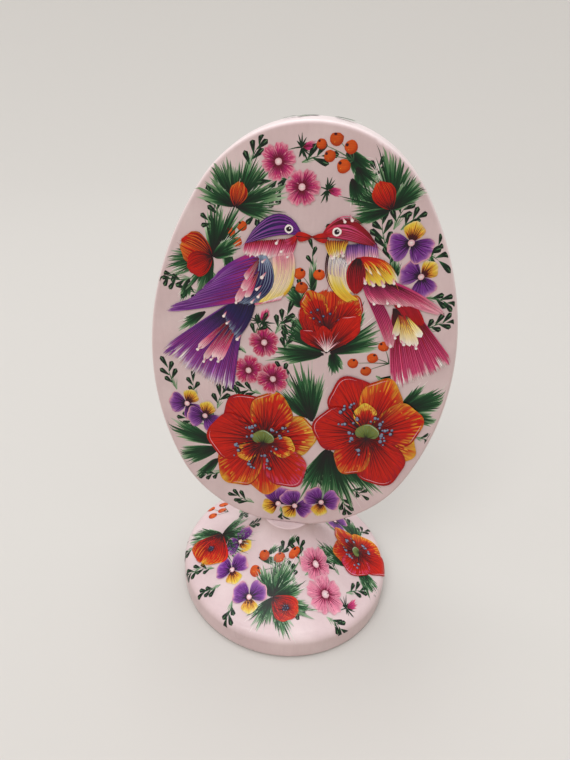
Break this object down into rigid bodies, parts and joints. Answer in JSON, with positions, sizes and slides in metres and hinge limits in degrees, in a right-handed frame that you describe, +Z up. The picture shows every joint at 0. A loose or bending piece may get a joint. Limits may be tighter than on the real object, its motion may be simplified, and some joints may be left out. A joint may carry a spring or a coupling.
{
  "type": "decorated egg",
  "caption": "Flat egg-shaped wooden panel with rounded edges, painted with birds and flowers, standing upright on a turned, bell-shaped foot.",
  "frame": {"origin": "centre of the foot's underside, on the surface that the object stands on", "axes": "+Z up along the foot's axis, the decorated front face of the panel looks towards -Y, +X to its right as seen from the front"},
  "size_m": [0.101, 0.085, 0.18],
  "materials": {
    "panel_paint": "pale pink painted ground with folk flower painting, clear satin varnish",
    "foot_paint": "pale pink painted ground with folk flower painting, clear satin varnish",
    "peg_wood": "bare beech dowel, hidden inside the joint"
  },
  "bodies": {
    "root": {"egg_panel": "panel_paint", "foot": "foot_paint", "peg": "peg_wood"}
  },
  "joints": []
}
